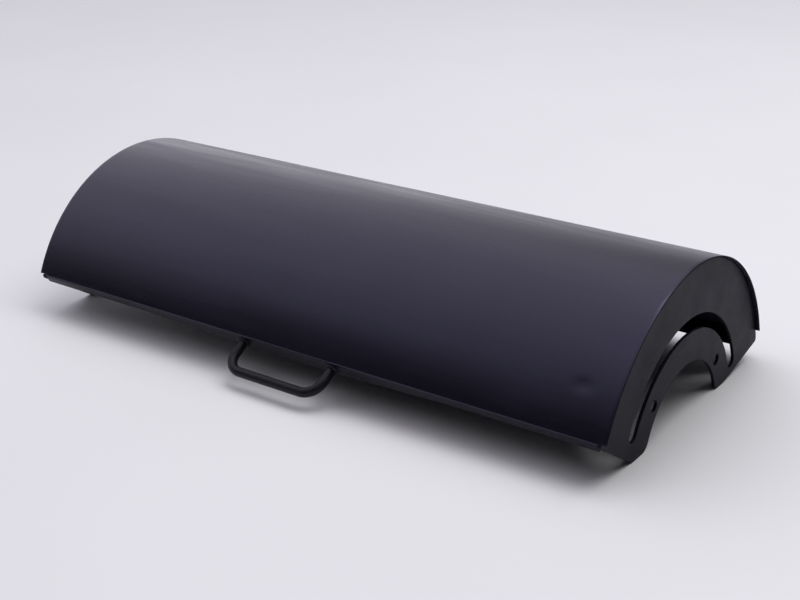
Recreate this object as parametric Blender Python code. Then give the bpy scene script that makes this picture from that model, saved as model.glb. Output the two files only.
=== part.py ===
"""Half-round sheet-steel machine hood with a lift handle and saddle-shaped end plates.

The hood's length runs along X, the handle is on the -Y side and the four toes stand on Z = 0.
Sections are drawn in the YZ plane around the axis of the rolled sheet, which lies below the floor.
Angles are measured about that axis from straight up, positive towards the rear (+Y).
"""

import bmesh
import bpy
from math import asin, cos, pi, radians, sin, sqrt, tan
from mathutils import Vector

# Driving dimensions, in metres and degrees
LENGTH = 0.857
SHELL_RADIUS = 0.220
SHEET = 0.002
AXIS_DEPTH = 0.0284
FRONT_EDGE_ANGLE = radians(-67.5)
REAR_EDGE_ANGLE = radians(72.5)

# Flanges folded inwards along both long edges of the sheet
BEND_RADIUS = 0.004
FRONT_FLANGE = 0.010
FRONT_FLANGE_AT_HANDLE = 0.019
FRONT_FLANGE_SLOPE = radians(58)
FRONT_FLANGE_TAPER = 0.152
REAR_FLANGE = 0.023
REAR_FLANGE_SLOPE = radians(53)

# End plates
PLATE = 0.004
PLATE_INSET = 0.0055
SADDLE_RADIUS = 0.097
FRONT_TOE_LENGTH = 0.02315
REAR_TOE_LENGTH = 0.01921
FRONT_CORNER_STEP = radians(1.31)
REAR_CORNER_STEP = radians(4.51)
PLATE_CORNER_RADIUS = 0.004
TOE_OUTER_RADIUS = 0.014
FRONT_TOE_RADIUS = 0.015
REAR_TOE_RADIUS = 0.007

# Bolt holes and slot of the end plates, stepped outwards from the saddle by the metal left between
HOLE_DIAMETER = 0.014
SADDLE_TO_HOLE = 0.0081
HOLE_TO_SLOT = 0.0159
SLOT_WIDTH = 0.018
SLOT_FRONT_ANGLE = radians(-64)
SLOT_REAR_ANGLE = radians(69)
FRONT_HOLE_ANGLE = radians(-45.9)
REAR_HOLE_ANGLE = radians(50.9)

# Lift handle, bent from round bar and welded square to the front flange
BAR_DIAMETER = 0.012
HANDLE_SPAN = 0.136
HANDLE_REACH = 0.041
HANDLE_BEND_RADIUS = 0.0215
HANDLE_SET_IN = 0.010

# Weld beads
WELD_LEG = 0.004
HANDLE_WELD_LEG = 0.003
STITCH_LENGTH = 0.025
STITCHES = 7
STITCH_MARGIN = radians(8)
FLANGE_WELD_MARGIN = 0.0015
BEAD_END = 0.5

# Black powder coat: a colour, and a roughness for each kind of piece
PAINT_COLOUR = (0.014, 0.013, 0.019)
SHELL_ROUGHNESS = 0.42
PLATE_ROUGHNESS = 0.5
HANDLE_ROUGHNESS = 0.6

# Gap left between pieces that touch
GAP = 0.0003

ARC_STEPS = 64
SMALL_ARC_STEPS = 6
HOLE_STEPS = 28
HANDLE_WELD_STEPS = 24
SMOOTH_ANGLE = radians(35)

PLATE_OUTER_X = LENGTH / 2 - PLATE_INSET
PLATE_INNER_X = PLATE_OUTER_X - PLATE
PLATE_RADIUS = SHELL_RADIUS - SHEET - GAP
BAR_RADIUS = BAR_DIAMETER / 2
WIDE_HALF_LENGTH = HANDLE_SPAN / 2 + BAR_RADIUS
TAPER_HALF_LENGTH = WIDE_HALF_LENGTH + FRONT_FLANGE_TAPER
HOLE_CIRCLE_RADIUS = SADDLE_RADIUS + SADDLE_TO_HOLE + HOLE_DIAMETER / 2
SLOT_RADIUS = HOLE_CIRCLE_RADIUS + HOLE_DIAMETER / 2 + HOLE_TO_SLOT + SLOT_WIDTH / 2
AXIS = Vector((0, -AXIS_DEPTH))


def remove_old_objects():
    for old in list(bpy.data.objects):
        bpy.data.objects.remove(old, do_unlink=True)


def polar(radius, angle, centre=AXIS):
    """Point of the YZ section at a radius and an angle from straight up."""
    return centre + radius * Vector((sin(angle), cos(angle)))


def arc(radius, start, end, steps, centre=AXIS):
    """Points along an arc, both ends included."""
    return [polar(radius, start + (end - start) * i / steps, centre) for i in range(steps + 1)]


# Materials

def paint(name, roughness):
    material = bpy.data.materials.new(name)
    material.use_nodes = True
    shader = material.node_tree.nodes["Principled BSDF"]
    shader.inputs["Base Color"].default_value = (*PAINT_COLOUR, 1)
    shader.inputs["Roughness"].default_value = roughness
    shader.inputs["Metallic"].default_value = 0
    material.diffuse_color = (*PAINT_COLOUR, 1)
    return material


# Object helpers

def finish_object(obj, material, parent):
    obj.data.materials.append(material)
    obj.parent = parent
    return obj


def add_object(name, mesh, material, parent):
    obj = bpy.data.objects.new(name, mesh)
    bpy.context.scene.collection.objects.link(obj)
    return finish_object(obj, material, parent)


def mesh_from(name, points, faces, smooth=True):
    """Mesh with outward faces from lists of points and faces."""
    work = bmesh.new()
    corners = [work.verts.new(point) for point in points]
    for face in faces:
        work.faces.new([corners[i] for i in face])
    bmesh.ops.recalc_face_normals(work, faces=work.faces)
    mesh = bpy.data.meshes.new(name)
    work.to_mesh(mesh)
    work.free()
    if smooth:
        mesh.shade_smooth()
        mesh.set_sharp_from_angle(angle=SMOOTH_ANGLE)
    return mesh


def prism(name, outline, start_x, end_x):
    """Straight bar along X with the given YZ outline."""
    count = len(outline)
    points = [(x, y, z) for x in (start_x, end_x) for y, z in outline]
    sides = [(i, (i + 1) % count, count + (i + 1) % count, count + i) for i in range(count)]
    caps = [tuple(range(count)), tuple(range(count, 2 * count))]
    return mesh_from(name, points, sides + caps)


# Shell

def fold(edge_angle, side, slope):
    """Outer face of the bend at one long edge, from the rolled sheet to the flange."""
    start = abs(edge_angle)
    bend = arc(BEND_RADIUS, start, pi - slope, SMALL_ARC_STEPS, polar(SHELL_RADIUS - BEND_RADIUS, start))
    return [Vector((side * point.x, point.y)) for point in bend]


def flange_direction(side, slope):
    """Direction from the fold towards the flange's free edge."""
    return Vector((-side * cos(slope), -sin(slope)))


def flange_normal(side, slope):
    """Direction out of the flange's upper face, into the hood."""
    return Vector((-side * sin(slope), cos(slope)))


def front_flange_width(x):
    """The front flange is widest behind the handle and tapers towards both ends."""
    beyond = abs(x) - WIDE_HALF_LENGTH
    taper = min(max(beyond / (TAPER_HALF_LENGTH - WIDE_HALF_LENGTH), 0), 1)
    return FRONT_FLANGE_AT_HANDLE + (FRONT_FLANGE - FRONT_FLANGE_AT_HANDLE) * taper


def shell_section(x):
    """Outer face of the sheet at one station, from the front flange over the crown to the rear one."""
    front_fold = fold(FRONT_EDGE_ANGLE, -1, FRONT_FLANGE_SLOPE)
    rear_fold = fold(REAR_EDGE_ANGLE, 1, REAR_FLANGE_SLOPE)
    front_edge = front_fold[-1] + front_flange_width(x) * flange_direction(-1, FRONT_FLANGE_SLOPE)
    rear_edge = rear_fold[-1] + REAR_FLANGE * flange_direction(1, REAR_FLANGE_SLOPE)
    rolled = arc(SHELL_RADIUS, FRONT_EDGE_ANGLE, REAR_EDGE_ANGLE, ARC_STEPS)
    return [front_edge] + front_fold[:0:-1] + rolled + rear_fold[1:] + [rear_edge]


def build_shell(material, parent):
    """Rolled sheet at full length, with both flanges stopping short of the end plates."""
    flange_end = PLATE_INNER_X - GAP
    half = [WIDE_HALF_LENGTH, TAPER_HALF_LENGTH, flange_end, LENGTH / 2]
    stations = [-x for x in reversed(half)] + half
    sections = [shell_section(x) for x in stations]
    across = len(sections[0])
    fold_points = SMALL_ARC_STEPS + 1
    work = bmesh.new()
    grid = [[work.verts.new((x, *point)) for point in section] for x, section in zip(stations, sections)]
    for column in range(len(stations) - 1):
        overhang = column in (0, len(stations) - 2)
        first = fold_points if overhang else 0
        last = across - 1 - fold_points if overhang else across - 1
        for row in range(first, last):
            near, far = grid[column], grid[column + 1]
            work.faces.new((near[row], far[row], far[row + 1], near[row + 1]))
    loose = [vert for vert in work.verts if not vert.link_faces]
    bmesh.ops.delete(work, geom=loose, context="VERTS")
    mesh = bpy.data.meshes.new("shell")
    work.to_mesh(mesh)
    work.free()
    mesh.shade_smooth()
    mesh.set_sharp_from_angle(angle=SMOOTH_ANGLE)
    shell = add_object("shell", mesh, material, parent)
    wall = shell.modifiers.new("sheet thickness", "SOLIDIFY")
    wall.thickness = SHEET
    wall.offset = -1
    wall.use_even_offset = True
    return shell


# End plates

def rounded_corner(before, corner, after, radius):
    """Points of a round that replaces the corner between two straight edges."""
    inward = (before - corner).normalized()
    outward = (after - corner).normalized()
    half_angle = inward.angle(outward) / 2
    centre = corner + (inward + outward).normalized() * radius / sin(half_angle)
    start = corner + inward * radius / tan(half_angle)
    end = corner + outward * radius / tan(half_angle)
    return sweep(centre, start, end)


def sweep(centre, start, end):
    """Points of the shorter arc from start to end about a centre."""
    first = start - centre
    last = end - centre
    turn = first.angle_signed(last)
    angle = Vector((0, 1)).angle_signed(first)
    return arc(first.length, angle, angle + turn, SMALL_ARC_STEPS, centre)


def tangent_centre(point, direction, inside, radius, reach):
    """Centre of a round that touches a line and a circle about the axis.

    The line starts at point and runs along direction with the plate on its inside. The
    centre lies at the given reach from the axis, on that run of the line."""
    start = point + inside * radius - AXIS
    along = start.dot(direction)
    return start + AXIS + direction * (-along + sqrt(along * along - start.length_squared + reach * reach))


def foot(side, corner_angle, toe_length, toe_radius):
    """Outline of one foot, from its outer corner, flush with the sheet, round the toe to the saddle."""
    reach = SADDLE_RADIUS + toe_radius
    toe_start = Vector((side * sqrt(reach ** 2 - (AXIS_DEPTH + toe_radius) ** 2), 0))
    toe_end = toe_start + Vector((side * toe_length, 0))
    up = (polar(SHELL_RADIUS, corner_angle) - toe_end).normalized()
    inside = Vector((-side * up.y, side * up.x))
    centre = tangent_centre(toe_end, up, inside, PLATE_CORNER_RADIUS, SHELL_RADIUS - PLATE_CORNER_RADIUS)
    from_axis = (centre - AXIS).normalized()
    outer = sweep(centre, AXIS + from_axis * SHELL_RADIUS, centre - inside * PLATE_CORNER_RADIUS)
    middle = rounded_corner(outer[-1], toe_end, toe_start, TOE_OUTER_RADIUS)
    toe_centre = toe_start + Vector((0, toe_radius))
    to_axis = (AXIS - toe_centre).normalized()
    inner = sweep(toe_centre, toe_start, toe_centre + to_axis * toe_radius)
    return outer + middle + inner


def angle_of(point):
    """Angle of a section point about the sheet's axis."""
    offset = point - AXIS
    return asin(offset.x / offset.length)


def plate_outline():
    """End plate: outer arc inside the sheet, rear foot, saddle and front foot."""
    front = foot(-1, FRONT_EDGE_ANGLE - FRONT_CORNER_STEP, FRONT_TOE_LENGTH, FRONT_TOE_RADIUS)
    rear = foot(1, REAR_EDGE_ANGLE + REAR_CORNER_STEP, REAR_TOE_LENGTH, REAR_TOE_RADIUS)
    front_step = FRONT_EDGE_ANGLE - GAP / PLATE_RADIUS
    rear_step = REAR_EDGE_ANGLE + GAP / PLATE_RADIUS
    crown = arc(PLATE_RADIUS, front_step, rear_step, ARC_STEPS)
    rear_flush = [polar(SHELL_RADIUS, rear_step)]
    front_flush = [polar(SHELL_RADIUS, front_step)]
    saddle = arc(SADDLE_RADIUS, angle_of(rear[-1]), angle_of(front[-1]), ARC_STEPS // 2)
    return crown + rear_flush + rear[:-1] + saddle + front[-2::-1] + front_flush


def slot_outline():
    """Curved slot of constant width with round ends."""
    half = SLOT_WIDTH / 2
    outer = arc(SLOT_RADIUS + half, SLOT_FRONT_ANGLE, SLOT_REAR_ANGLE, ARC_STEPS)
    inner = arc(SLOT_RADIUS - half, SLOT_REAR_ANGLE, SLOT_FRONT_ANGLE, ARC_STEPS)
    rear_end = arc(half, SLOT_REAR_ANGLE, SLOT_REAR_ANGLE + pi, SMALL_ARC_STEPS * 2,
                   polar(SLOT_RADIUS, SLOT_REAR_ANGLE))
    front_end = arc(half, SLOT_FRONT_ANGLE + pi, SLOT_FRONT_ANGLE + 2 * pi, SMALL_ARC_STEPS * 2,
                    polar(SLOT_RADIUS, SLOT_FRONT_ANGLE))
    return outer[:-1] + rear_end[:-1] + inner[:-1] + front_end[:-1]


def hole_outline(angle):
    centre = polar(HOLE_CIRCLE_RADIUS, angle)
    return arc(HOLE_DIAMETER / 2, 0, 2 * pi, HOLE_STEPS, centre)[:-1]


def add_cutter(name, outline, parent):
    """Hidden bar, longer than the hood, that cuts both end plates."""
    cutter = bpy.data.objects.new(name, prism(name, outline, -LENGTH, LENGTH))
    bpy.context.scene.collection.objects.link(cutter)
    cutter.parent = parent
    cutter.hide_render = True
    cutter.display_type = "WIRE"
    return cutter


def build_end_plates(material, parent):
    outline = plate_outline()
    cutters = [
        add_cutter("slot_cutter", slot_outline(), parent),
        add_cutter("front_hole_cutter", hole_outline(FRONT_HOLE_ANGLE), parent),
        add_cutter("rear_hole_cutter", hole_outline(REAR_HOLE_ANGLE), parent),
    ]
    for name, side in (("left_end_plate", -1), ("right_end_plate", 1)):
        mesh = prism(name, outline, side * PLATE_INNER_X, side * PLATE_OUTER_X)
        plate = add_object(name, mesh, material, parent)
        for cutter in cutters:
            cut = plate.modifiers.new(cutter.name, "BOOLEAN")
            cut.operation = "DIFFERENCE"
            cut.solver = "EXACT"
            cut.object = cutter


# Handle

def handle_frame():
    """Where the handle's plane meets the outer face of the front flange, and its direction."""
    fold_end = fold(FRONT_EDGE_ANGLE, -1, FRONT_FLANGE_SLOPE)[-1]
    root = fold_end + HANDLE_SET_IN * flange_direction(-1, FRONT_FLANGE_SLOPE)
    return root, -flange_normal(-1, FRONT_FLANGE_SLOPE)


def build_handle(material, parent):
    """U-shaped round bar with both ends square to the flange."""
    root, away = handle_frame()
    half = HANDLE_SPAN / 2
    corner_x = half - HANDLE_BEND_RADIUS
    corner_reach = HANDLE_REACH - HANDLE_BEND_RADIUS
    turn = arc(HANDLE_BEND_RADIUS, pi / 2, pi, SMALL_ARC_STEPS * 2, Vector((corner_x, 0)))
    right = [Vector((half, GAP))] + [Vector((point.x, corner_reach - point.y)) for point in turn]
    left = [Vector((-point.x, point.y)) for point in reversed(right)]
    curve = bpy.data.curves.new("handle", "CURVE")
    curve.dimensions = "3D"
    curve.bevel_depth = BAR_RADIUS
    curve.bevel_resolution = 6
    curve.use_fill_caps = True
    path = right + left
    spline = curve.splines.new("POLY")
    spline.points.add(len(path) - 1)
    spline.use_smooth = True
    for target, point in zip(spline.points, path):
        section = root + away * point.y
        target.co = (point.x, section.x, section.y, 1)
    obj = bpy.data.objects.new("handle", curve)
    bpy.context.scene.collection.objects.link(obj)
    return finish_object(obj, material, parent)


# Weld beads

BEAD_PROFILE = ((0, 0), (1, 0), (0.72, 0.34), (0.53, 0.53), (0.34, 0.72), (0, 1))


def bead_mesh(name, stations, closed=False):
    """Fillet weld swept along stations, each a root point, two leg vectors and a size."""
    points = []
    for root, first_leg, second_leg, size in stations:
        points += [root + (first_leg * a + second_leg * b) * size for a, b in BEAD_PROFILE]
    width = len(BEAD_PROFILE)
    spans = len(stations) if closed else len(stations) - 1
    faces = []
    for span in range(spans):
        following = (span + 1) % len(stations)
        for i in range(width):
            j = (i + 1) % width
            faces.append((span * width + i, span * width + j, following * width + j, following * width + i))
    if not closed:
        faces += [tuple(range(width)), tuple(range(len(points) - width, len(points)))]
    return mesh_from(name, points, faces)


def end_size(i, count):
    """Beads start and stop with a smaller section."""
    return BEAD_END if i in (0, count) else 1


def build_stitches(material, parent):
    """Row of stitch welds in the corner between each end plate and the rolled sheet."""
    first = FRONT_EDGE_ANGLE + STITCH_MARGIN
    pitch = (REAR_EDGE_ANGLE - STITCH_MARGIN - first) / (STITCHES - 1)
    half_angle = STITCH_LENGTH / PLATE_RADIUS / 2
    for side_name, side in (("left", -1), ("right", 1)):
        root_x = side * (PLATE_INNER_X - GAP)
        for number in range(STITCHES):
            stations = []
            for i in range(SMALL_ARC_STEPS + 1):
                angle = first + pitch * number + half_angle * (2 * i / SMALL_ARC_STEPS - 1)
                point = polar(PLATE_RADIUS, angle)
                inward = (AXIS - point).normalized() * WELD_LEG
                stations.append((Vector((root_x, *point)), Vector((-side * WELD_LEG, 0, 0)),
                                 Vector((0, *inward)), end_size(i, SMALL_ARC_STEPS)))
            name = f"{side_name}_stitch_weld_{number + 1}"
            add_object(name, bead_mesh(name, stations), material, parent)


def build_flange_welds(material, parent):
    """Short welds where the ends of both flanges meet the end plates, on the flanges' upper side."""
    edges = (("front", -1, FRONT_EDGE_ANGLE, FRONT_FLANGE_SLOPE, FRONT_FLANGE),
             ("rear", 1, REAR_EDGE_ANGLE, REAR_FLANGE_SLOPE, REAR_FLANGE))
    for side_name, side in (("left", -1), ("right", 1)):
        root_x = side * (PLATE_INNER_X - GAP)
        for edge_name, edge_side, edge_angle, slope, flange in edges:
            along = flange_direction(edge_side, slope)
            upward = flange_normal(edge_side, slope)
            middle = fold(edge_angle, edge_side, slope)[-1] + along * flange / 2 + upward * (SHEET + GAP)
            length = flange - 2 * FLANGE_WELD_MARGIN
            stations = []
            for i in range(SMALL_ARC_STEPS + 1):
                point = middle + along * length * (i / SMALL_ARC_STEPS - 0.5)
                stations.append((Vector((root_x, *point)), Vector((-side * WELD_LEG, 0, 0)),
                                 Vector((0, *upward)) * WELD_LEG, end_size(i, SMALL_ARC_STEPS)))
            name = f"{side_name}_{edge_name}_flange_weld"
            add_object(name, bead_mesh(name, stations), material, parent)


def build_handle_welds(material, parent):
    """Weld ring round each leg of the handle, against the flange's outer face."""
    root, away = handle_frame()
    up_flange = -flange_direction(-1, FRONT_FLANGE_SLOPE)
    for side_name, side in (("left", -1), ("right", 1)):
        centre = Vector((side * HANDLE_SPAN / 2, *(root + away * GAP)))
        stations = []
        for i in range(HANDLE_WELD_STEPS):
            angle = 2 * pi * i / HANDLE_WELD_STEPS
            outward = Vector((cos(angle), *(up_flange * sin(angle))))
            stations.append((centre + outward * (BAR_RADIUS + GAP), outward * HANDLE_WELD_LEG,
                             Vector((0, *away)) * HANDLE_WELD_LEG, 1))
        name = f"{side_name}_handle_weld"
        add_object(name, bead_mesh(name, stations, closed=True), material, parent)


def centre_shift():
    """Shift along Y that puts the middle of the hood's depth over the origin."""
    root, away = handle_frame()
    front = (root + away * HANDLE_REACH).x - BAR_RADIUS
    rear = max(point.x for point in fold(REAR_EDGE_ANGLE, 1, REAR_FLANGE_SLOPE))
    return -(front + rear) / 2


def main():
    remove_old_objects()
    centre = bpy.data.objects.new("hood_centre", None)
    bpy.context.scene.collection.objects.link(centre)
    centre.location = (0, centre_shift(), 0)
    build_shell(paint("shell_paint", SHELL_ROUGHNESS), centre)
    build_end_plates(paint("plate_paint", PLATE_ROUGHNESS), centre)
    build_handle(paint("handle_paint", HANDLE_ROUGHNESS), centre)
    weld_paint = paint("weld_paint", PLATE_ROUGHNESS)
    build_stitches(weld_paint, centre)
    build_flange_welds(weld_paint, centre)
    build_handle_welds(weld_paint, centre)


main()
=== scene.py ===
# %% [markdown]
# # Half-round steel hood with a lift handle
#
# The object is a machine hood: a long sheet of steel rolled to part of a circle, with both long
# edges folded in, two thick end plates with curved slots, and a round-bar handle on the front.
# The frame that is loaded here fixes every size and place. This lesson makes the fine surfaces
# and the finishes round it, so each size below is read from the frame or is a sheet-metal detail.

# %% Load the frame
from math import atan2, cos, exp, pi, radians, sin, sqrt

import bmesh
import bpy
from mathutils import Matrix, Vector


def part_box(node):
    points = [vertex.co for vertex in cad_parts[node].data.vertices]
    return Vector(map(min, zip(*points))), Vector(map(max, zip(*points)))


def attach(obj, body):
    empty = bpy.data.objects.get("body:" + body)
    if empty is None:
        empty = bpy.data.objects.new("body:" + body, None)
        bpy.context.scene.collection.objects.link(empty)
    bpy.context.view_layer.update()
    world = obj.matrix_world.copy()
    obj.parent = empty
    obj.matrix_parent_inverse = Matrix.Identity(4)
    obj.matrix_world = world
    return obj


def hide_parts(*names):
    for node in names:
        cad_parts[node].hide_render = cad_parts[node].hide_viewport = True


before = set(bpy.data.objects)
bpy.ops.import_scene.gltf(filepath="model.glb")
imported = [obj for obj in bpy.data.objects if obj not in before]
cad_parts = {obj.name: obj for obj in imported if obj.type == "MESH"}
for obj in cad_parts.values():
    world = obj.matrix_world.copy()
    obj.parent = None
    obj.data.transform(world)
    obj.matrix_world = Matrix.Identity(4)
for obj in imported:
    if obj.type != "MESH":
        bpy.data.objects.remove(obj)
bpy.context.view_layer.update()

print("frame:", len(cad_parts), "nodes")

# %% [markdown]
# Working by operators, as by hand, needs two habits. Everything is deselected before an object
# is added or picked, because an operator acts on all that is selected. In edit mode nothing is
# selected until it is chosen by its place, and these small helpers do that choosing.

# %% Helpers for picking objects, points and faces
def pick(obj):
    """Make obj the one selected and active object."""
    if bpy.context.object and bpy.context.object.mode != "OBJECT":
        bpy.ops.object.mode_set(mode="OBJECT")
    bpy.ops.object.select_all(action="DESELECT")
    obj.select_set(True)
    bpy.context.view_layer.objects.active = obj
    return obj


def edit(kind="VERT"):
    """Enter edit mode with nothing selected."""
    bpy.ops.object.mode_set(mode="EDIT")
    bpy.ops.mesh.select_mode(type=kind)
    bpy.ops.mesh.select_all(action="DESELECT")


def select_where(test, kind="verts"):
    """Select the points, edges or faces of the edited mesh that pass a test; return how many."""
    mesh = bmesh.from_edit_mesh(bpy.context.object.data)
    chosen = [item for item in getattr(mesh, kind) if test(item)]
    for item in chosen:
        item.select_set(True)
    mesh.select_flush_mode()
    bmesh.update_edit_mesh(bpy.context.object.data)
    return len(chosen)


def done():
    bpy.ops.object.mode_set(mode="OBJECT")
    return bpy.context.object


def apply_modifier(obj, kind, **settings):
    """Add a modifier, set it and apply it."""
    pick(obj)
    modifier = obj.modifiers.new(kind.lower(), kind)
    for name, value in settings.items():
        setattr(modifier, name, value)
    bpy.ops.object.modifier_apply(modifier=modifier.name)


def settle(obj):
    """Put the object's place, turn and size into its mesh, so that it sits at the origin."""
    pick(obj)
    bpy.ops.object.transform_apply(location=True, rotation=True, scale=True)


def face_outwards(obj):
    pick(obj)
    edit()
    bpy.ops.mesh.select_all(action="SELECT")
    bpy.ops.mesh.normals_make_consistent(inside=False)
    done()


def smooth(obj, angle=40):
    pick(obj)
    bpy.ops.object.shade_smooth_by_angle(angle=radians(angle))


print("helpers ready: pick, edit, select_where, done, apply_modifier, settle, face_outwards, smooth")

# %% [markdown]
# The rolled sheet is part of a cylinder whose axis runs along X, below the floor. The frame
# gives its box, and the end plates' box gives where they stand. The radius and the axis follow
# from the crown's height and from the sheet's two edges, which is how a maker with a template
# and a straight edge would find them too.

# %% Sizes of the rolled sheet, read from the frame
SHEET = 0.002
BEND = 0.004
RADIUS = 0.220
FRONT_EDGE = radians(-67.5)
REAR_EDGE = radians(72.5)

shell_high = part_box("shell")[1]
plate_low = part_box("right_end_plate")[0]
HALF_LENGTH = shell_high.x
CROWN = shell_high.z
AXIS_Z = CROWN - RADIUS
AXIS_Y = shell_high.y - (RADIUS - BEND) * sin(REAR_EDGE) - BEND
print(f"axis of the roll at y {AXIS_Y:.4f}, z {AXIS_Z:.4f}; half length {HALF_LENGTH:.4f}")


def on_roll(radius, angle, x=0.0):
    """Point at a radius and an angle from straight up, round the axis of the roll."""
    return Vector((x, AXIS_Y + radius * sin(angle), AXIS_Z + radius * cos(angle)))

# %% [markdown]
# ## The sheet
#
# A metalworker starts with a flat blank and rolls it, then folds the two edges. The same order
# works here. One row of edges is the blank's front edge. Spin turns it round the axis of the roll,
# and a second, tighter spin makes each fold. The flanges stop just inside the end plates, and the
# rolled part runs on past them, so only the edges between the plates are folded. A cylinder cut
# in half would give the roll but neither the folds nor the corner reliefs.

# %% Roll the blank
COLUMNS = 176
ROLL_STEPS = 108
OVERHANG_COLUMNS = 2
TINY = 0.0001

bpy.ops.object.select_all(action="DESELECT")
bpy.ops.mesh.primitive_grid_add(x_subdivisions=COLUMNS, y_subdivisions=1, size=2 * HALF_LENGTH,
                                location=on_roll(RADIUS, FRONT_EDGE))
sheet = bpy.context.object
sheet.name = "rolled_sheet"
edit()
select_where(lambda v: v.co.y > 0)
bpy.ops.mesh.delete(type="VERT")
bpy.ops.mesh.select_all(action="SELECT")
bpy.ops.transform.translate(value=(0, HALF_LENGTH, 0))
done()
settle(sheet)

TOWARDS_REAR = (1, 0, 0)
TOWARDS_FRONT = (-1, 0, 0)
edit("EDGE")
bpy.ops.mesh.select_all(action="SELECT")
bpy.ops.mesh.spin(steps=ROLL_STEPS, angle=REAR_EDGE - FRONT_EDGE, center=on_roll(0, 0), axis=TOWARDS_REAR)
done()
crown = max(vert.co.z for vert in sheet.data.vertices)
print("rolled sheet:", len(sheet.data.polygons), "faces, crown at", round(crown, 4))

# %% [markdown]
# The folds come next. Each flange has its own slope. The front one is narrow at both ends and
# wider behind the handle, where it takes the pull of a hand.

# %% Fold both edges
FOLD_STEPS = 6
FRONT_SLOPE = radians(58)
REAR_SLOPE = radians(53)
FRONT_FLANGE = 0.010
FRONT_FLANGE_AT_HANDLE = 0.019
REAR_FLANGE = 0.023
WIDE_HALF_LENGTH = 0.074
TAPER_HALF_LENGTH = 0.226
flange_end = HALF_LENGTH - OVERHANG_COLUMNS * 2 * HALF_LENGTH / COLUMNS


def fold_edge(edge_angle, axis, slope, width, rows):
    """Spin the free edge round its bend, then draw out the flat flange in a few rows."""
    edge = on_roll(RADIUS, edge_angle)
    side = 1 if edge_angle > 0 else -1
    edit("EDGE")
    count = select_where(lambda e: all(abs(v.co.x) < flange_end + TINY and abs(v.co.y - edge.y) < TINY
                                       and abs(v.co.z - edge.z) < TINY for v in e.verts), "edges")
    bpy.ops.mesh.spin(steps=FOLD_STEPS, angle=pi - slope - abs(edge_angle),
                      center=on_roll(RADIUS - BEND, edge_angle), axis=axis)
    direction = Vector((0, -side * cos(slope), -sin(slope)))
    for row in range(rows):
        bpy.ops.mesh.extrude_region_move(TRANSFORM_OT_translate={"value": direction * width / rows})
    done()
    print("folded", count, "edges at y", round(edge.y, 4))
    return direction


pick(sheet)
fold_edge(REAR_EDGE, TOWARDS_REAR, REAR_SLOPE, REAR_FLANGE, 4)
front_direction = fold_edge(FRONT_EDGE, TOWARDS_FRONT, FRONT_SLOPE, FRONT_FLANGE, 3)

# %% [markdown]
# The front flange was drawn out at its narrow width all along. Its points now slide further out
# along its slope, most behind the handle and not at all near the ends, with a straight taper
# between. Sliding points keeps one clean strip, where a patch welded on would leave a seam.

# %% Widen the front flange behind the handle
def front_extra(x):
    """How much wider than its narrow ends the front flange is at one station."""
    beyond = (abs(x) - WIDE_HALF_LENGTH) / (TAPER_HALF_LENGTH - WIDE_HALF_LENGTH)
    return (FRONT_FLANGE_AT_HANDLE - FRONT_FLANGE) * (1 - min(max(beyond, 0), 1))


front_bend = on_roll(RADIUS - BEND, FRONT_EDGE)
fold_end = front_bend + BEND * Vector((0, -sin(FRONT_SLOPE), -cos(FRONT_SLOPE)))
for vert in sheet.data.vertices:
    reach = (vert.co - fold_end).dot(front_direction)
    if vert.co.y < AXIS_Y and vert.co.z < fold_end.z + TINY and reach > TINY:
        vert.co += front_direction * front_extra(vert.co.x) * reach / FRONT_FLANGE
print("front flange:", FRONT_FLANGE, "m at its ends,", FRONT_FLANGE_AT_HANDLE, "m behind the handle")

# %% [markdown]
# A rolled sheet is never a perfect cylinder. The rolls leave faint flats along its length, it
# pulls in a little between welds, and use leaves a shallow dent. The flats are a tenth or two of a
# millimetre deep and the dent is about one, but a satin paint shows them as soft streaks and a
# smudge in its reflection, so they are in the mesh and not only in the paint.

# %% Waviness and one shallow dent
DENT_X = 0.385
DENT_ANGLE = radians(-53.4)
DENT_LENGTH = 0.010
DENT_WIDTH = 0.006
DENT_DEPTH = 0.0011
WAVINESS = 0.00016
CALM_LENGTH = 0.05
HELD_RIM = 0.01


def calm(distance):
    """Fade from 0 at a held edge to 1 away from it."""
    share = min(max(distance / CALM_LENGTH, 0), 1)
    return share * share * (3 - 2 * share)


def waviness(x, angle):
    """Radial error of the roll, in metres: slow waves that don't share a rhythm."""
    along = sin(5.3 * x + 1.1) + 0.6 * sin(13.7 * x + 4 * angle)
    around = sin(7.1 * angle + 0.4) + 0.7 * sin(17.3 * angle + 2.2 * x)
    return WAVINESS * (0.6 * along * around + 0.4 * around)


def dent(x, angle):
    """Depth of the dent: a bell curve along the sheet and round it."""
    along = (x - DENT_X) / DENT_LENGTH
    across = (angle - DENT_ANGLE) * RADIUS / DENT_WIDTH
    return -DENT_DEPTH * exp(-(along * along + across * across))


for vert in sheet.data.vertices:
    offset = vert.co - on_roll(0, 0, vert.co.x)
    angle = atan2(offset.y, offset.z)
    if offset.length < RADIUS - TINY:
        continue
    held = calm(HALF_LENGTH - abs(vert.co.x) - HELD_RIM) * calm((angle - FRONT_EDGE) * RADIUS)
    held *= calm((REAR_EDGE - angle) * RADIUS)
    change = waviness(vert.co.x, angle) * held + dent(vert.co.x, angle)
    vert.co += offset.normalized() * change
print("waviness and dent in", len(sheet.data.vertices), "points")

# %% [markdown]
# Solidify gives the sheet its thickness inwards, so the outer face stays where the frame has it.
# The bevel that follows rounds only the cut rim, as a file and the thick paint do. A face that
# looked the wrong way would take its thickness outwards, so the faces are checked first.

# %% Thickness and rim
RIM_ROUND = 0.0009
ROUND_SEGMENTS = 3
SHARP_EDGE = radians(50)


def looks_out(face):
    """Whether a face of the thin sheet looks away from the axis of the roll."""
    return face.normal.dot(face.center - on_roll(0, 0, face.center.x)) > 0


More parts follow.
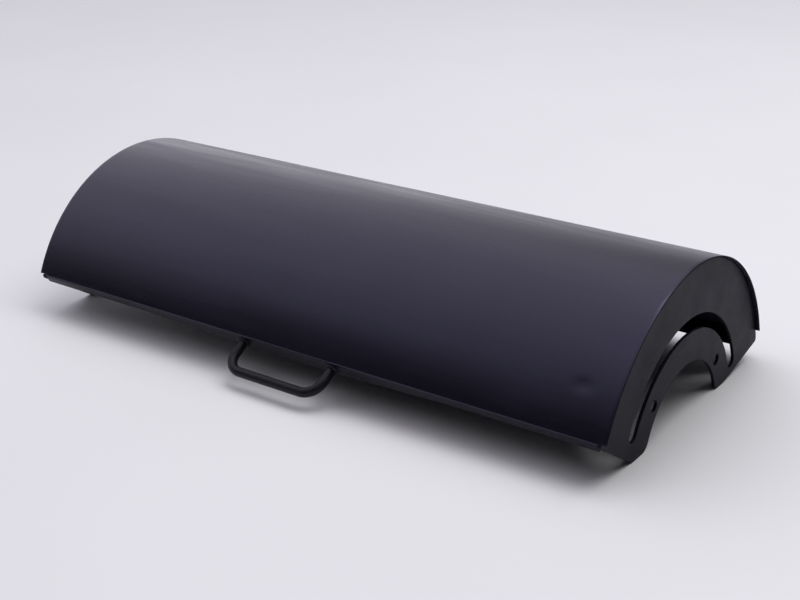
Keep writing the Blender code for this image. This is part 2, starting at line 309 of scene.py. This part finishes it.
def round_edges(obj, width):
    """Bevel the sharp edges of a piece."""
    apply_modifier(obj, "BEVEL", width=width, segments=ROUND_SEGMENTS, limit_method="ANGLE",
                   angle_limit=SHARP_EDGE)


if not looks_out(sheet.data.polygons[0]):
    pick(sheet)
    edit()
    bpy.ops.mesh.select_all(action="SELECT")
    bpy.ops.mesh.flip_normals()
    done()
face_up = sum(looks_out(face) for face in sheet.data.polygons)
print("faces that look outwards:", face_up, "of", len(sheet.data.polygons))
apply_modifier(sheet, "SOLIDIFY", thickness=SHEET, offset=-1, use_even_offset=True)
round_edges(sheet, RIM_ROUND)
smooth(sheet)
print("sheet:", len(sheet.data.polygons), "faces")

# %% [markdown]
# ## The end plates
#
# The end plates are laser-cut from 4 mm plate, and the frame already holds their exact outline.
# Drawing it again would only risk a mismatch, so a copy of each is taken. The copy's loose
# triangles are merged and its flat faces dissolved, which leaves clean edges for a bevel. The
# small round on every cut edge is what catches the light on a painted plate. Weighted normals
# then keep the broad face flat to the eye, right up to those rounds.

# %% Copy the laser-cut plates and round their edges
CUT_ROUND = 0.0005
FLAT_ENOUGH = radians(0.4)


def clean_copy(node, name):
    """A merged copy of a frame node with its flat faces joined up."""
    obj = bpy.data.objects.new(name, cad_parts[node].data.copy())
    bpy.context.scene.collection.objects.link(obj)
    obj.data.materials.clear()
    pick(obj)
    if obj.data.has_custom_normals:
        bpy.ops.mesh.customdata_custom_splitnormals_clear()
    edit()
    bpy.ops.mesh.select_all(action="SELECT")
    bpy.ops.mesh.remove_doubles(threshold=TINY / 10)
    bpy.ops.mesh.dissolve_limited(angle_limit=FLAT_ENOUGH)
    done()
    return obj


plates = []
for side in ("left", "right"):
    plate = clean_copy(f"{side}_end_plate", f"{side}_plate")
    round_edges(plate, CUT_ROUND)
    smooth(plate)
    apply_modifier(plate, "WEIGHTED_NORMAL", keep_sharp=True)
    plates.append(plate)
    print(plate.name, len(plate.data.polygons), "faces")

# %% [markdown]
# ## The handle
#
# The handle is round bar with two bends, welded square to the front flange. A circle is the bar's
# section: it is drawn out for each straight leg and spun round each bend, so every ring stays
# square to the bar. A curve with a bevel would be quicker, but its rings bunch up at the bends.

# %% Bend the bar
handle_low, handle_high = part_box("handle")
BAR_RADIUS = 0.006
HANDLE_BEND = 0.0215
HANDLE_SET_IN = 0.010
WELD_GAP = 0.0003
RING = 32
BEND_STEPS = 16
away = Vector((0, -sin(FRONT_SLOPE), -cos(FRONT_SLOPE)))
handle_root = fold_end + HANDLE_SET_IN * front_direction
leg_x = handle_high.x - BAR_RADIUS
reach = (handle_low.y + BAR_RADIUS - handle_root.y) / away.y
print(f"handle: legs at x {leg_x:.4f}, reach {reach:.4f}")


def square_to(direction):
    """Rotation that turns something flat on the floor square to a direction in the section."""
    return (atan2(-direction.y, direction.z), 0, 0)


def add_disc(name, centre, direction, radius, sides):
    """A filled circle, square to a direction in the section, left in edit mode to be drawn out."""
    bpy.ops.object.select_all(action="DESELECT")
    bpy.ops.mesh.primitive_circle_add(vertices=sides, radius=radius, fill_type="NGON", location=centre,
                                      rotation=square_to(direction))
    disc = bpy.context.object
    disc.name = name
    settle(disc)
    edit("FACE")
    bpy.ops.mesh.select_all(action="SELECT")
    return disc


def draw_out(step, rows=1):
    """Extrude what is selected along a step, in even rows."""
    for row in range(rows):
        bpy.ops.mesh.extrude_region_move(TRANSFORM_OT_translate={"value": step / rows})


sideways = Vector((1, 0, 0))
bend_axis = sideways.cross(away)
first_end = handle_root - sideways * leg_x
handle = add_disc("grip_bar", first_end + WELD_GAP * away, away, BAR_RADIUS, RING)
draw_out(away * (reach - HANDLE_BEND - WELD_GAP), 2)
first_bend = first_end + sideways * HANDLE_BEND + away * (reach - HANDLE_BEND)
bpy.ops.mesh.spin(steps=BEND_STEPS, angle=pi / 2, center=first_bend, axis=bend_axis)
draw_out(sideways * 2 * (leg_x - HANDLE_BEND), 4)
second_bend = first_bend + sideways * 2 * (leg_x - HANDLE_BEND)
bpy.ops.mesh.spin(steps=BEND_STEPS, angle=pi / 2, center=second_bend, axis=bend_axis)
draw_out(-away * (reach - HANDLE_BEND - WELD_GAP), 2)
done()
face_outwards(handle)
smooth(handle)
print("handle box:", [round(c, 4) for c in handle.bound_box[0]], [round(c, 4) for c in handle.bound_box[6]])

# %% [markdown]
# ## The welds
#
# A weld bead is not a smooth roll. The welder's hand moves in small steps, and each step leaves a
# ripple. So every ring of points along a bead gets its own small swell. The ring round a handle
# leg starts as a torus, and the part of it that would lie inside the flange is cut away.

# %% Weld the handle's legs
WELD_RIPPLE = 0.0028
RIPPLE_DEPTH = 0.09
RING_WELD_STEPS = 72
RING_WELD_MIDDLE = 0.0068
RING_WELD_ROUND = 0.0022
RING_WELD_SINK = 0.0002
BEAD_SIDES = 14
BEAD_SMOOTH = 60
SLUMP = 0.1


def ripple(distance, phase=0.0):
    """Swell of a bead at a distance along it: rounded humps with sharp valleys between them."""
    return 1 - RIPPLE_DEPTH + 2 * RIPPLE_DEPTH * abs(sin(pi * distance / WELD_RIPPLE + phase))


def ring_weld(name, centre, phase):
    """Rippled ring of weld round one leg of the handle."""
    bpy.ops.object.select_all(action="DESELECT")
    bpy.ops.mesh.primitive_torus_add(major_segments=RING_WELD_STEPS, minor_segments=BEAD_SIDES,
                                     major_radius=RING_WELD_MIDDLE, minor_radius=RING_WELD_ROUND,
                                     location=centre, rotation=square_to(away))
    ring = bpy.context.object
    ring.name = name
    settle(ring)
    for vert in ring.data.vertices:
        offset = vert.co - centre
        flat = offset - away * offset.dot(away)
        middle = centre + flat.normalized() * RING_WELD_MIDDLE
        angle = atan2(flat.dot(front_direction), flat.x)
        slump = 1 + SLUMP * sin(2 * angle + phase)
        vert.co = middle + (vert.co - middle) * ripple(angle * RING_WELD_MIDDLE, phase) * slump
    edit()
    bpy.ops.mesh.select_all(action="SELECT")
    bpy.ops.mesh.bisect(plane_co=centre - away * RING_WELD_SINK, plane_no=away, clear_inner=True,
                        use_fill=True)
    done()
    face_outwards(ring)
    smooth(ring, BEAD_SMOOTH)
    return ring


handle_beads = [ring_weld("left_handle_bead", first_end, 0.7),
                ring_weld("right_handle_bead", handle_root + sideways * leg_x, 2.1)]
print("handle beads:", len(handle_beads[0].data.polygons), "faces each")

# %% [markdown]
# Every straight or curved bead is finished alike, so the finishing is written once. Each ring of
# points swells with the ripple, and near both ends it shrinks along a quarter circle, which gives
# the round end of a real bead. Copies get their own mesh, and a mirrored copy has its faces turned
# outwards again, because a mirror turns a shape inside out.

# %% Shape and copy a bead
BEAD_ROUND = 0.0025
BEAD_OFF = 0.0012
TAPER_LEAST = 0.15
MIRROR = Matrix.Scale(-1, 4, (1, 0, 0))


def shape_bead(bead, length, distance_of, middle_of):
    """Ripple a bead and draw both of its ends in to a round."""
    for vert in bead.data.vertices:
        distance = distance_of(vert.co)
        from_end = min(distance, length - distance) / BEAD_ROUND
        taper = max(sqrt(max(1 - max(1 - from_end, 0) ** 2, 0)), TAPER_LEAST)
        middle = middle_of(vert.co)
        vert.co = middle + (vert.co - middle) * ripple(distance) * taper
    face_outwards(bead)
    smooth(bead, BEAD_SMOOTH)


def copy_moved(obj, name, matrix):
    """A copy with its own mesh, moved by a matrix."""
    twin = obj.copy()
    twin.data = obj.data.copy()
    twin.name = name
    bpy.context.scene.collection.objects.link(twin)
    twin.data.transform(matrix)
    if matrix.determinant() < 0:
        face_outwards(twin)
    return twin


def turn_on_roll(angle):
    """Matrix of a turn towards the rear round the axis of the roll."""
    axis = Matrix.Translation(on_roll(0, 0))
    return axis @ Matrix.Rotation(-angle, 4, "X") @ axis.inverted()


print("bead:", 2 * BEAD_ROUND, "m wide,", BEAD_SIDES, "sides")

# %% [markdown]
# Inside the hood, short stitches hold each plate to the sheet, because full seams would pull the
# thin sheet out of round. One stitch is a small disc spun round the axis of the roll, rippled and
# rounded off at both ends. It is modelled once. The others are copies turned round the same axis,
# as a welder repeats one move, and the right side is a mirror of the left.

# %% Stitch the plates to the sheet
STITCHES = 7
STITCH_LENGTH = 0.025
STITCH_MARGIN = radians(8)
STITCH_STEPS = 36
inner_radius = RADIUS - SHEET
bead_x = plate_low.x - BEAD_OFF
first_stitch = FRONT_EDGE + STITCH_MARGIN
stitch_pitch = (REAR_EDGE - STITCH_MARGIN - first_stitch) / (STITCHES - 1)
stitch_start = first_stitch - STITCH_LENGTH / inner_radius / 2
bead_radius = inner_radius - BEAD_OFF
tangent = Vector((0, cos(stitch_start), -sin(stitch_start)))
first = add_disc("left_stitch_1", on_roll(bead_radius, stitch_start, -bead_x), tangent,
                 BEAD_ROUND, BEAD_SIDES)
bpy.ops.mesh.spin(steps=STITCH_STEPS, angle=STITCH_LENGTH / inner_radius, center=on_roll(0, 0),
                  axis=TOWARDS_REAR)
done()


def stitch_angle(point):
    return atan2(point.y - AXIS_Y, point.z - AXIS_Z)


shape_bead(first, STITCH_LENGTH, lambda p: (stitch_angle(p) - stitch_start) * inner_radius,
           lambda p: on_roll(bead_radius, stitch_angle(p), -bead_x))
stitches = {"left_stitch_weld_1": first}
for number in range(2, STITCHES + 1):
    turned = copy_moved(first, f"left_stitch_{number}", turn_on_roll(stitch_pitch * (number - 1)))
    stitches[f"left_stitch_weld_{number}"] = turned
for number in range(1, STITCHES + 1):
    left = stitches[f"left_stitch_weld_{number}"]
    stitches[f"right_stitch_weld_{number}"] = copy_moved(left, f"right_stitch_{number}", MIRROR)
print("stitches:", len(stitches), "with", len(first.data.polygons), "faces each")

# %% [markdown]
# The ends of both flanges are welded to the plates too, on the side that faces into the hood.
# These beads are straight, so the same disc is drawn out in short steps instead of spun.

# %% Weld the flange ends
FLANGE_WELD_MARGIN = 0.0015
STRAIGHT_STEP = 0.0007
rear_direction = Vector((0, -cos(REAR_SLOPE), -sin(REAR_SLOPE)))
rear_fold_end = on_roll(RADIUS - BEND, REAR_EDGE) + BEND * Vector((0, sin(REAR_SLOPE), -cos(REAR_SLOPE)))
flange_beads = {}


def flange_bead(name, start, along, normal, flange):
    """A straight bead on a flange's upper face, against the left plate."""
    length = flange - 2 * FLANGE_WELD_MARGIN
    root = start + along * FLANGE_WELD_MARGIN + normal * (SHEET + BEAD_OFF)
    root.x = -bead_x
    bead = add_disc(name, root, along, BEAD_ROUND, BEAD_SIDES)
    draw_out(along * length, round(length / STRAIGHT_STEP))
    done()
    shape_bead(bead, length, lambda p: (p - root).dot(along), lambda p: root + along * (p - root).dot(along))
    return bead


for place, start, along, normal, flange in (
        ("front", fold_end, front_direction, Vector((0, sin(FRONT_SLOPE), cos(FRONT_SLOPE))), FRONT_FLANGE),
        ("rear", rear_fold_end, rear_direction, Vector((0, -sin(REAR_SLOPE), cos(REAR_SLOPE))), REAR_FLANGE)):
    left = flange_bead(f"left_{place}_bead", start, along, normal, flange)
    flange_beads[f"left_{place}_flange_weld"] = left
    flange_beads[f"right_{place}_flange_weld"] = copy_moved(left, f"right_{place}_bead", MIRROR)
print("flange beads:", len(flange_beads))

# %% [markdown]
# ## The paint
#
# A procedural material is a small network of nodes. These helpers add one node each and join it
# up, so that the paint itself can be read as a recipe. All patterns read Object coordinates, which
# are metres on this model, so a scale of 900 is a speck of about a millimetre.

# %% Helpers for paint nodes
def add_node(tree, kind, **values):
    """A new node with its inputs set by name."""
    made = tree.nodes.new(f"ShaderNode{kind}")
    for name, value in values.items():
        made.inputs[name.replace("_", " ")].default_value = value
    return made


def noise(tree, place, scale, detail=2.0, roughness=0.5):
    made = add_node(tree, "TexNoise", Scale=scale, Detail=detail, Roughness=roughness)
    tree.links.new(place, made.inputs["Vector"])
    return made.outputs["Fac"]


def spread(tree, value, low, high, first, last):
    """Map a value's middle range onto another range, with both ends held."""
    made = add_node(tree, "MapRange", From_Min=low, From_Max=high, To_Min=first, To_Max=last)
    tree.links.new(value, made.inputs["Value"])
    return made.outputs["Result"]


def blend_colour(tree, share, first, second):
    """Mix of two colours; either may be a constant or another node's output."""
    made = tree.nodes.new("ShaderNodeMix")
    made.data_type = "RGBA"
    tree.links.new(share, made.inputs["Factor"])
    for socket, colour in (("A", first), ("B", second)):
        target = next(s for s in made.inputs if s.name == socket and s.type == "RGBA")
        if isinstance(colour, tuple):
            target.default_value = colour
        else:
            tree.links.new(colour, target)
    return next(s for s in made.outputs if s.type == "RGBA")


def bump(tree, height, distance, normal=None):
    made = add_node(tree, "Bump", Strength=1.0, Distance=distance)
    tree.links.new(height, made.inputs["Height"])
    if normal:
        tree.links.new(normal, made.inputs["Normal"])
    return made.outputs["Normal"]


print("node helpers ready: add_node, noise, spread, blend_colour, bump")

# %% [markdown]
# The whole hood is powder-coated black. Powder melts into a skin with a faint orange-peel waviness
# of a few hundredths of a millimetre, so two noises drive the bump: a soft one for the peel and a
# finer one for the grain. A third noise, stretched along the sheet, varies the roughness and the
# relief, and shows as long streaks where the light grazes the roll. Patches, specks of dust and
# worn flecks vary the colour, and the coat is thin on sharp edges, so they are a little lighter.
# The reflection is cool at a straight look and white at a grazing one, which is exactly what the
# shader's specular tint does.

# %% Powder coat
GRAIN = 0.0005
STREAK_HEIGHT = 0.0006
STREAK_SLANT = radians(5)
STREAK_SCALE = (2.2, 24, 24)
PATCH_SCALE = 9.0
SPECK_SCALE = 900.0
FLECK_SCALE = 420.0
WORN_GREY = (0.040, 0.040, 0.044, 1)
COOL_REFLECTION = (0.70, 0.67, 1.0, 1)


def powder_coat(name, colour, gloss, peel, grain, specular, fleck=0.0, tint=COOL_REFLECTION):
    """Black powder coat: peel, grain, stretched streaks in its gloss, dust and thin edges.

    gloss is the roughness and how far it wanders; peel is its spacing and its height in metres;
    grain is the fine bump's height; fleck is how much of the worn grey shows, from 0 to 1.
    """
    roughness, wander = gloss
    peel_spacing, peel_height = peel
    material = bpy.data.materials.new(name)
    material.use_nodes = True
    tree = material.node_tree
    shader = tree.nodes["Principled BSDF"]
    shader.inputs["Metallic"].default_value = 0
    shader.inputs["IOR"].default_value = 1.5
    shader.inputs["Specular IOR Level"].default_value = specular
    shader.inputs["Specular Tint"].default_value = tint
    place = tree.nodes.new("ShaderNodeTexCoord").outputs["Object"]

    stretched = add_node(tree, "Mapping", Scale=STREAK_SCALE, Rotation=(0, 0, STREAK_SLANT))
    tree.links.new(place, stretched.inputs["Vector"])
    streaks = noise(tree, stretched.outputs["Vector"], 1.0, 4.0, 0.6)
    patches = noise(tree, place, PATCH_SCALE, 3.0)
    specks = noise(tree, place, SPECK_SCALE, 1.0)
    flecks = noise(tree, place, FLECK_SCALE, 2.0)
    darker = tuple(0.8 * c for c in colour) + (1,)
    lighter = tuple(1.25 * c for c in colour) + (1,)
    dust = tuple(2.2 * c + 0.004 for c in colour) + (1,)
    base = blend_colour(tree, spread(tree, patches, 0.35, 0.65, 0, 1), darker, lighter)
    base = blend_colour(tree, spread(tree, specks, 0.70, 0.80, 0, 0.7), base, dust)
    base = blend_colour(tree, spread(tree, flecks, 0.46, 0.62, 0, fleck), base, WORN_GREY)
    edges = tree.nodes.new("ShaderNodeNewGeometry").outputs["Pointiness"]
    base = blend_colour(tree, spread(tree, edges, 0.53, 0.62, 0, 0.6), base, dust)
    tree.links.new(base, shader.inputs["Base Color"])

    streaky = spread(tree, streaks, 0.3, 0.7, roughness - wander, roughness + wander)
    tree.links.new(streaky, shader.inputs["Roughness"])
    relief = bump(tree, noise(tree, stretched.outputs["Vector"], 1.0, 2.0, 0.4), STREAK_HEIGHT)
    relief = bump(tree, noise(tree, place, 1 / peel_spacing, 2.0), peel_height, relief)
    relief = bump(tree, noise(tree, place, 1 / GRAIN, 2.0), grain, relief)
    tree.links.new(relief, shader.inputs["Normal"])
    return material


print("coat recipe ready, grain of", GRAIN, "m")

# %% [markdown]
# One recipe gives every coat of the hood, with different numbers. The rolled sheet is the glossiest
# and the plates are duller. The bar is coarse and more neutral, as hot-rolled bar keeps a rough
# skin under its paint. The welds lie between them.

# %% Coats of this hood
BLACK = (0.0050, 0.0048, 0.0095)
BAR_BLACK = (0.005, 0.005, 0.006)
BAR_REFLECTION = (0.86, 0.84, 1.0, 1)
coats = {
    "shell_paint": powder_coat("satin_black_sheet", BLACK, gloss=(0.27, 0.11), peel=(0.0022, 0.000015),
                               grain=0.000003, specular=0.5),
    "plate_paint": powder_coat("satin_black_plate", BLACK, gloss=(0.5, 0.04), peel=(0.0022, 0.00004),
                               grain=0.000006, specular=0.12, fleck=0.12),
    "handle_paint": powder_coat("grained_black_bar", BAR_BLACK, gloss=(0.38, 0.08), peel=(0.0030, 0.00042),
                                grain=0.00005, specular=0.20, fleck=0.12, tint=BAR_REFLECTION),
    "weld_paint": powder_coat("painted_weld", BLACK, gloss=(0.45, 0.05), peel=(0.0022, 0.00005),
                              grain=0.00001, specular=0.4),
}
# Two shaded copies of the coat with less gloss paint shade: painted shade on the folded lip, and a painted
# shade line on the end rims.
shaded_lip_coat = powder_coat("lip_painted_shade", BLACK, gloss=(0.36, 0.06), peel=(0.0022, 0.00003),
                       grain=0.000006, specular=0.2)
shade_line_rim_coat = powder_coat("rim_painted_shade_line", BLACK, gloss=(0.6, 0.02), peel=(0.0022, 0.00002),
                       grain=0.00001, specular=0.04)
print("coats:", ", ".join(material.name for material in coats.values()))

# %% [markdown]
# Each finished piece takes its paint, rides on the one body, and the CAD node that it stands in for
# is hidden.

# %% Put the pieces in the frame
def place_piece(piece, node_name, slot):
    """Stand for a CAD node, ride on the body and take a finish."""
    piece.data.materials.clear()
    piece.data.materials.append(coats[slot])
    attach(piece, "root")
    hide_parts(node_name)


place_piece(sheet, "shell", "shell_paint")
place_piece(plates[0], "left_end_plate", "plate_paint")
place_piece(plates[1], "right_end_plate", "plate_paint")
place_piece(handle, "handle", "handle_paint")
beads = {"left_handle_weld": handle_beads[0], "right_handle_weld": handle_beads[1]}
beads.update(stitches)
beads.update(flange_beads)
for node_name, bead in beads.items():
    place_piece(bead, node_name, "weld_paint")
print("beads in place:", len(beads))

# %% [markdown]
# One coat isn't even all over here, and the difference is painted shade. The sheet's two end rims
# wear a copy of the coat with almost no gloss. It is a painted shade line between the sheet and each
# end plate, where the gap falls into shade. The folded lip wears a copy with less gloss, as painted
# shade under the hood, so it shines less than the roll above it. A mesh may hold several materials:
# each face says which one it wears, and the faces are found here by place and direction.

# %% Painted shade: duller coats on the end rims and the front lip
RIM_LOOK = 0.35
LIP_LOOK = 0.9
SHADED_LIP_SLOT = 1
SHADE_LINE_SLOT = 2
sheet.data.materials.append(shaded_lip_coat)
sheet.data.materials.append(shade_line_rim_coat)
painted_shade_faces = {SHADED_LIP_SLOT: 0, SHADE_LINE_SLOT: 0}
for face in sheet.data.polygons:
    outwards = (face.center - on_roll(0, 0, face.center.x)).normalized()
    if abs(face.normal.x) > RIM_LOOK and abs(face.center.x) > HALF_LENGTH - RIM_ROUND:
        face.material_index = SHADE_LINE_SLOT
    elif outwards.y < 0 and abs(face.normal.dot(outwards)) < LIP_LOOK:
        face.material_index = SHADED_LIP_SLOT
    if face.material_index:
        painted_shade_faces[face.material_index] += 1
print("dull faces on the lip and the rims:", list(painted_shade_faces.values()))

# %% [markdown]
# ## Floor, light and camera
#
# A black satin surface shows the room more than its own colour, so the room is half of the finish.
# It starts with a wide, pale, matt floor. A slow mottle keeps it from looking like a flat card.

# %% Pale floor
FLOOR_SIZE = 30
FLOOR_TINTS = ((0.82, 0.82, 0.83, 1), (0.84, 0.84, 0.85, 1))

bpy.ops.object.select_all(action="DESELECT")
bpy.ops.mesh.primitive_plane_add(size=FLOOR_SIZE, location=(0, 0, 0))
floor = bpy.context.object
floor.name = "floor"
floor_paint = bpy.data.materials.new("floor_paint")
floor_paint.use_nodes = True
floor_tree = floor_paint.node_tree
floor_shader = floor_tree.nodes["Principled BSDF"]
floor_shader.inputs["Roughness"].default_value = 0.9
floor_shader.inputs["Specular IOR Level"].default_value = 0.1
floor_place = floor_tree.nodes.new("ShaderNodeTexCoord").outputs["Object"]
mottle = spread(floor_tree, noise(floor_tree, floor_place, 2.0, 2.0), 0.3, 0.7, 0, 1)
floor_tint = blend_colour(floor_tree, mottle, *FLOOR_TINTS)
floor_tree.links.new(floor_tint, floor_shader.inputs["Base Color"])
floor.data.materials.append(floor_paint)
print("floor:", FLOOR_SIZE, "m square")

# %% [markdown]
# A studio ends in a pale wall. Here it is a wide ring around the floor that glows with its own pale
# light, painted darker at its foot as painted shade, to meet the far floor, which gets less light. It is
# only there to be looked at: Blender's ray visibility keeps it out of reflections and bounced light,
# so the soft room light still reaches the object through it.

# %% Pale backdrop
BACKDROP_HEIGHT = 14
BACKDROP_SIDES = 96
FADE_HEIGHT = 3.5
# Painted shade: the wall's foot is darker, to meet the far floor where less light falls.
WALL_FOOT = (0.44, 0.44, 0.46, 1)
WALL_TOP = (0.78, 0.78, 0.80, 1)

bpy.ops.object.select_all(action="DESELECT")
bpy.ops.mesh.primitive_cylinder_add(vertices=BACKDROP_SIDES, radius=FLOOR_SIZE / 2, depth=BACKDROP_HEIGHT,
                                    end_fill_type="NOTHING", location=(0, 0, BACKDROP_HEIGHT / 2))
bpy.ops.object.transform_apply(location=True, rotation=False, scale=False)
bpy.ops.object.shade_smooth()
backdrop = bpy.context.object
backdrop.name = "backdrop"
backdrop.visible_diffuse = False
backdrop.visible_glossy = False
backdrop.visible_shadow = False
wall_paint = bpy.data.materials.new("backdrop_paint")
wall_paint.use_nodes = True
wall_tree = wall_paint.node_tree
wall_tree.nodes.remove(wall_tree.nodes["Principled BSDF"])
wall_height = wall_tree.nodes.new("ShaderNodeSeparateXYZ")
wall_tree.links.new(wall_tree.nodes.new("ShaderNodeTexCoord").outputs["Object"], wall_height.inputs[0])
rise = spread(wall_tree, wall_height.outputs["Z"], 0, FADE_HEIGHT, 0, 1)
wall_light = add_node(wall_tree, "Emission", Strength=1.0)
wall_tree.links.new(blend_colour(wall_tree, rise, WALL_FOOT, WALL_TOP), wall_light.inputs["Color"])
wall_tree.links.new(wall_light.outputs["Emission"],
                    wall_tree.nodes["Material Output"].inputs["Surface"])
backdrop.data.materials.append(wall_paint)
print("backdrop ring:", FLOOR_SIZE / 2, "m from the object")

# %% [markdown]
# The light has three parts. The room itself is dim. A broad soft glow high on the left lights the
# front of the roll, and fades so slowly that the sheet goes from grey to black without an edge. A
# second glow, low behind the hood, runs along the crown as a pale line. Both glows are part of the
# world, because a lamp's edge would show in the satin paint. One soft square box above the right
# rear is there mainly to light the floor.

# %% Soft room light
ROOM = 0.06
SKY_COLOUR = (0.99, 0.963, 1.06, 1)

world = bpy.data.worlds.new("soft_room")
world.use_nodes = True
bpy.context.scene.world = world
room = world.node_tree
looking = room.nodes.new("ShaderNodeTexCoord").outputs["Generated"]


def glow(azimuth, elevation, edge, brightness):
    """Brightness of one soft glow: full in its middle, nothing past its edge, in degrees."""
    around, up = radians(azimuth), radians(elevation)
    towards = room.nodes.new("ShaderNodeVectorMath")
    towards.operation = "DOT_PRODUCT"
    room.links.new(looking, towards.inputs[0])
    towards.inputs[1].default_value = (cos(up) * cos(around), cos(up) * sin(around), sin(up))
    fade = add_node(room, "MapRange", From_Min=cos(radians(edge)), From_Max=1, To_Min=0,
                    To_Max=brightness)
    fade.interpolation_type = "SMOOTHSTEP"
    room.links.new(towards.outputs["Value"], fade.inputs["Value"])
    return fade.outputs["Result"]


def add_up(first, second):
    total = room.nodes.new("ShaderNodeMath")
    for socket, value in zip(total.inputs, (first, second)):
        if isinstance(value, float):
            socket.default_value = value
        else:
            room.links.new(value, socket)
    return total.outputs["Value"]


ceiling_glow = glow(azimuth=172, elevation=60, edge=64, brightness=1.24)
wall_glow = glow(azimuth=135, elevation=-10, edge=48, brightness=1.10)
sky = room.nodes["Background"]
sky.inputs["Color"].default_value = SKY_COLOUR
room.links.new(add_up(add_up(ceiling_glow, wall_glow), ROOM), sky.inputs["Strength"])


def soft_box(name, azimuth, elevation, distance, size, radiance):
    """Square area light that looks at the object; radiance is the brightness of its face."""
    lamp = bpy.data.lights.new(name, "AREA")
    lamp.size = size
    lamp.energy = radiance * pi * size * size
    box = bpy.data.objects.new(name, lamp)
    bpy.context.scene.collection.objects.link(box)
    towards_box = Vector((cos(elevation) * cos(azimuth), cos(elevation) * sin(azimuth), sin(elevation)))
    box.location = towards_box * distance
    box.rotation_euler = towards_box.to_track_quat("Z", "Y").to_euler()
    return box


soft_box("floor_box", azimuth=radians(40), elevation=radians(68), distance=4.0, size=3.2, radiance=2.4)
print("light: two glows and one soft box")

# %% [markdown]
# The camera stands at the right front corner and looks down by about 22 degrees, through a longish
# lens that keeps the two ends of the roll close in size. The Standard view shows the paint's tones
# as they are, where a film-like view would lift the blacks.

# %% Camera
camera_data = bpy.data.cameras.new("camera")
camera_data.sensor_width = 36
camera_data.lens = 62.07
camera = bpy.data.objects.new("camera", camera_data)
bpy.context.scene.collection.objects.link(camera)
camera.location = (0.9816, -1.3247, 0.7313)
camera.rotation_euler = (radians(67.63), radians(0.1986), radians(35.4674))
bpy.context.scene.camera = camera
bpy.context.scene.view_settings.view_transform = "Standard"
print("camera:", round(camera.location.length, 2), "m from the middle of the hood's foot")
